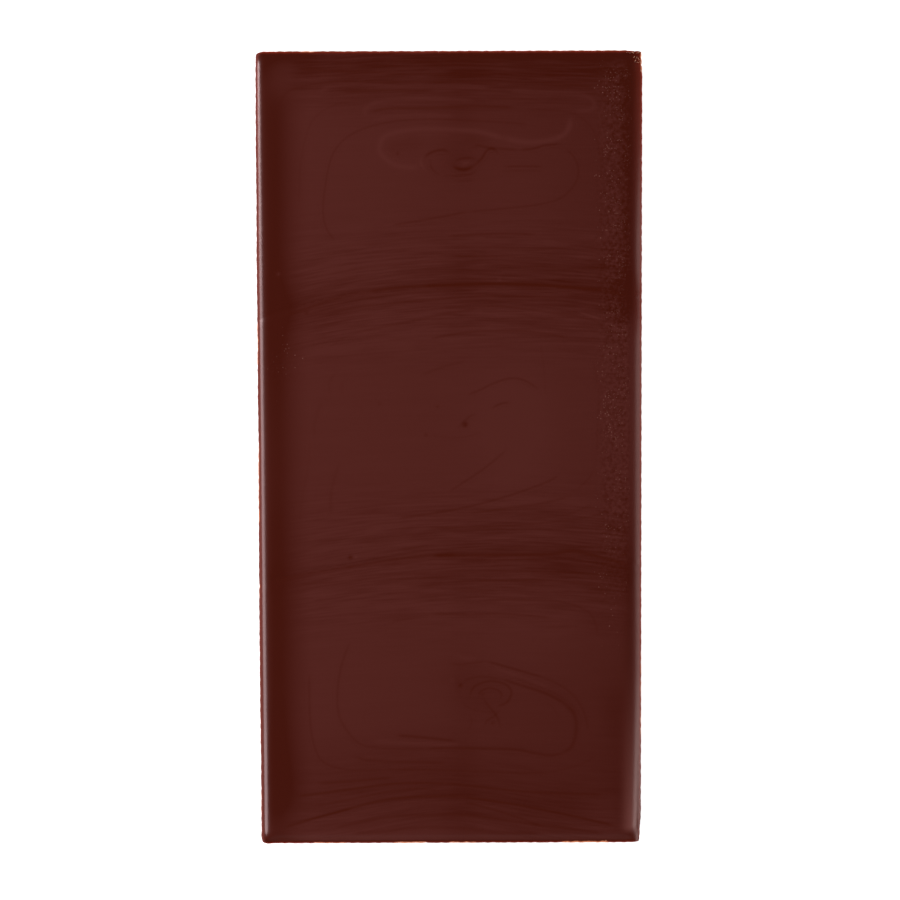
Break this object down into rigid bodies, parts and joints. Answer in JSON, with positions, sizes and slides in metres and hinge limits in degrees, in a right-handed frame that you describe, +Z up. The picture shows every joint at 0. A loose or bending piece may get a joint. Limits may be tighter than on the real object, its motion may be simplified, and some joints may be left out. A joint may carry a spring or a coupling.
{
  "type": "chocolate bar",
  "caption": "Plain dark chocolate bar lying on its moulded face, its poured back up, with faint whirls and arched seams where the poured chocolate met.",
  "frame": {"origin": "middle of the bar's length and width, on the flat moulded face that it rests on", "axes": "+X across the bar, +Y along it to the end with the chipped corner, +Z up out of the poured back"},
  "size_m": [0.0764, 0.158, 0.007],
  "materials": {
    "dark_chocolate": "satin"
  },
  "bodies": {
    "root": {"chocolate_bar": "dark_chocolate"}
  },
  "joints": []
}
